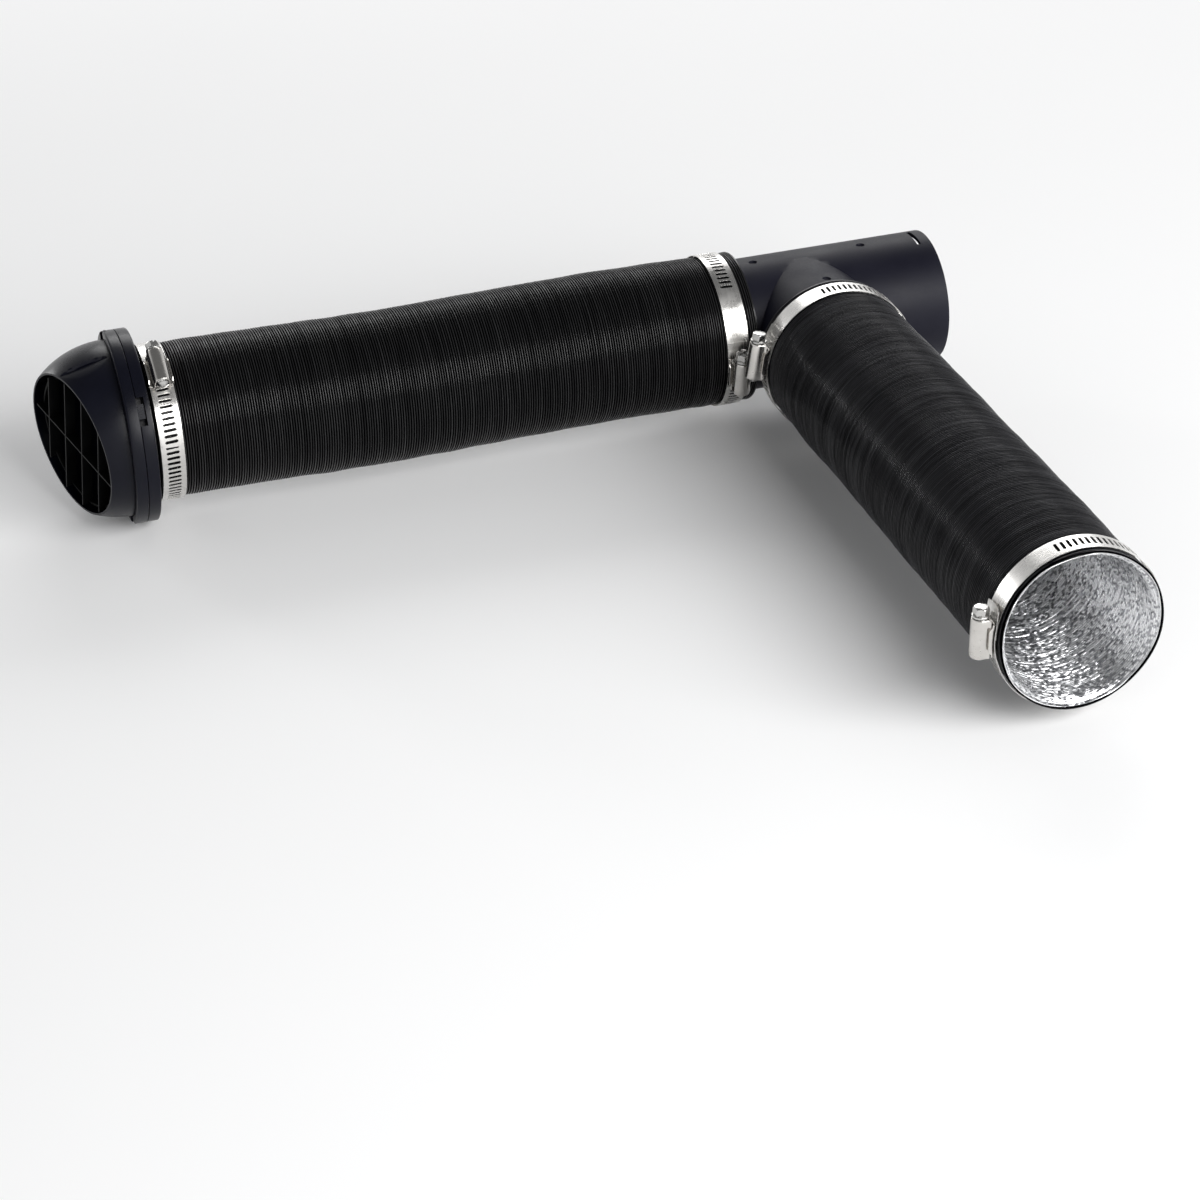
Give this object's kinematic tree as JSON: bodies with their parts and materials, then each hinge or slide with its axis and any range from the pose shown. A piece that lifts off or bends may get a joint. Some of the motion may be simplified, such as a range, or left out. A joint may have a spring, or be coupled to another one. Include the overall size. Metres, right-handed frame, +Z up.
{
  "type": "flexible air duct assembly",
  "caption": "Warm-air duct assembly: equal tee with flexible foil-lined ducts on two arms, a swivelling grille vent on one duct, and worm-drive hose clamps.",
  "frame": {"origin": "under the middle of the whole object, on the surface that it stands on", "axes": "+X along the main run towards the tee's open arm, -Y along the branch duct towards its open end, +Z up"},
  "size_m": [0.5122, 0.4372, 0.1066],
  "materials": {
    "moulded_plastic": "satin",
    "grille_plastic": "satin",
    "duct_wrap": "satin",
    "duct_foil": "embossed",
    "clamp_steel": "bright",
    "screw_steel": "bright"
  },
  "bodies": {
    "root": {"tee_body": "moulded_plastic", "outlet_duct_skin_collar": "duct_wrap", "outlet_duct_foil_collar": "duct_foil", "branch_duct_skin_collar": "duct_wrap", "branch_duct_foil_collar": "duct_foil", "clamp_2_band": "clamp_steel", "clamp_2_housing": "clamp_steel", "clamp_2_saddle": "clamp_steel", "clamp_3_band": "clamp_steel", "clamp_3_housing": "clamp_steel", "clamp_3_saddle": "clamp_steel"},
    "outlet_near": {"outlet_duct_skin_stretch_near": "duct_wrap", "outlet_duct_foil_stretch_near": "duct_foil"},
    "outlet_mid_1": {"outlet_duct_skin_bend_near": "duct_wrap", "outlet_duct_foil_bend_near": "duct_foil"},
    "outlet_mid_2": {"outlet_duct_skin_bend_far": "duct_wrap", "outlet_duct_foil_bend_far": "duct_foil"},
    "outlet_far": {"outlet_duct_skin_stretch_far": "duct_wrap", "outlet_duct_foil_stretch_far": "duct_foil", "outlet_duct_skin_end": "duct_wrap", "outlet_duct_foil_end": "duct_foil", "clamp_1_band": "clamp_steel", "clamp_1_housing": "clamp_steel", "clamp_1_saddle": "clamp_steel", "vent_base": "moulded_plastic", "vent_bezel": "moulded_plastic", "vent_screw_1": "screw_steel", "vent_screw_2": "screw_steel"},
    "hood": {"vent_hood": "moulded_plastic", "vent_grille": "grille_plastic"},
    "branch_near": {"branch_duct_skin_stretch_near": "duct_wrap", "branch_duct_foil_stretch_near": "duct_foil"},
    "branch_mid_1": {"branch_duct_skin_bend_near": "duct_wrap", "branch_duct_foil_bend_near": "duct_foil"},
    "branch_mid_2": {"branch_duct_skin_bend_far": "duct_wrap", "branch_duct_foil_bend_far": "duct_foil"},
    "branch_far": {"branch_duct_skin_stretch_far": "duct_wrap", "branch_duct_foil_stretch_far": "duct_foil", "branch_duct_skin_end": "duct_wrap", "branch_duct_foil_end": "duct_foil", "clamp_4_band": "clamp_steel", "clamp_4_housing": "clamp_steel", "clamp_4_saddle": "clamp_steel"},
    "clamp_1_worm": {"clamp_1_screw": "screw_steel"},
    "clamp_2_worm": {"clamp_2_screw": "screw_steel"},
    "clamp_3_worm": {"clamp_3_screw": "screw_steel"},
    "clamp_4_worm": {"clamp_4_screw": "screw_steel"}
  },
  "joints": [
    {"name": "outlet_stretch_near", "type": "slide", "parent": "root", "child": "outlet_near", "axis": [-1, 0, 0], "range_m": [0, 0.17], "deforming": ["outlet_duct_skin_stretch_near", "outlet_duct_foil_stretch_near"]},
    {"name": "outlet_bend_near", "type": "hinge", "parent": "outlet_near", "child": "outlet_mid_1", "pos_m": [-0.0119, 0.16565, 0.053], "axis": [0, 0, 1], "range_deg": [-25, 25], "deforming": ["outlet_duct_skin_bend_near", "outlet_duct_foil_bend_near"]},
    {"name": "outlet_bend_far", "type": "hinge", "parent": "outlet_mid_1", "child": "outlet_mid_2", "pos_m": [-0.0619, 0.16565, 0.053], "axis": [0, 0, 1], "range_deg": [-25, 25], "deforming": ["outlet_duct_skin_bend_far", "outlet_duct_foil_bend_far"]},
    {"name": "outlet_stretch_far", "type": "slide", "parent": "outlet_mid_2", "child": "outlet_far", "axis": [-1, 0, 0], "range_m": [0, 0.15], "deforming": ["outlet_duct_skin_stretch_far", "outlet_duct_foil_stretch_far"]},
    {"name": "hood_swivel", "type": "hinge", "parent": "outlet_far", "child": "hood", "pos_m": [-0.2093, 0.16565, 0.053], "axis": [-1, 0, 0], "continuous": true},
    {"name": "branch_stretch_near", "type": "slide", "parent": "root", "child": "branch_near", "axis": [0, -1, 0], "range_m": [0, 0.16], "deforming": ["branch_duct_skin_stretch_near", "branch_duct_foil_stretch_near"]},
    {"name": "branch_bend_near", "type": "hinge", "parent": "branch_near", "child": "branch_mid_1", "pos_m": [0.1781, -0.03435, 0.053], "axis": [0, 0, 1], "range_deg": [-25, 25], "deforming": ["branch_duct_skin_bend_near", "branch_duct_foil_bend_near"]},
    {"name": "branch_bend_far", "type": "hinge", "parent": "branch_mid_1", "child": "branch_mid_2", "pos_m": [0.1781, -0.08435, 0.053], "axis": [0, 0, 1], "range_deg": [-25, 25], "deforming": ["branch_duct_skin_bend_far", "branch_duct_foil_bend_far"]},
    {"name": "branch_stretch_far", "type": "slide", "parent": "branch_mid_2", "child": "branch_far", "axis": [0, -1, 0], "range_m": [0, 0.135], "deforming": ["branch_duct_skin_stretch_far", "branch_duct_foil_stretch_far"]},
    {"name": "clamp_1_screw_turn", "type": "hinge", "parent": "outlet_far", "child": "clamp_1_worm", "pos_m": [-0.19325, 0.14209, 0.09551], "axis": [0, 0.8746, 0.4848], "continuous": true},
    {"name": "clamp_2_screw_turn", "type": "hinge", "parent": "root", "child": "clamp_2_worm", "pos_m": [0.12695, 0.11779, 0.04456], "axis": [0, -0.1736, 0.9848], "continuous": true},
    {"name": "clamp_3_screw_turn", "type": "hinge", "parent": "root", "child": "clamp_3_worm", "pos_m": [0.1301, 0.10375, 0.0606], "axis": [0.1564, 0, 0.9877], "continuous": true},
    {"name": "clamp_4_screw_turn", "type": "hinge", "parent": "branch_far", "child": "clamp_4_worm", "pos_m": [0.12953, -0.2078, 0.0547], "axis": [0.0349, 0, 0.9994], "continuous": true}
  ],
  "couplings": [
    {"joint": "outlet_bend_far", "follows": "outlet_bend_near", "ratio": 1},
    {"joint": "outlet_stretch_far", "follows": "outlet_stretch_near", "ratio": 0.88},
    {"joint": "branch_bend_far", "follows": "branch_bend_near", "ratio": 1},
    {"joint": "branch_stretch_far", "follows": "branch_stretch_near", "ratio": 0.84}
  ]
}
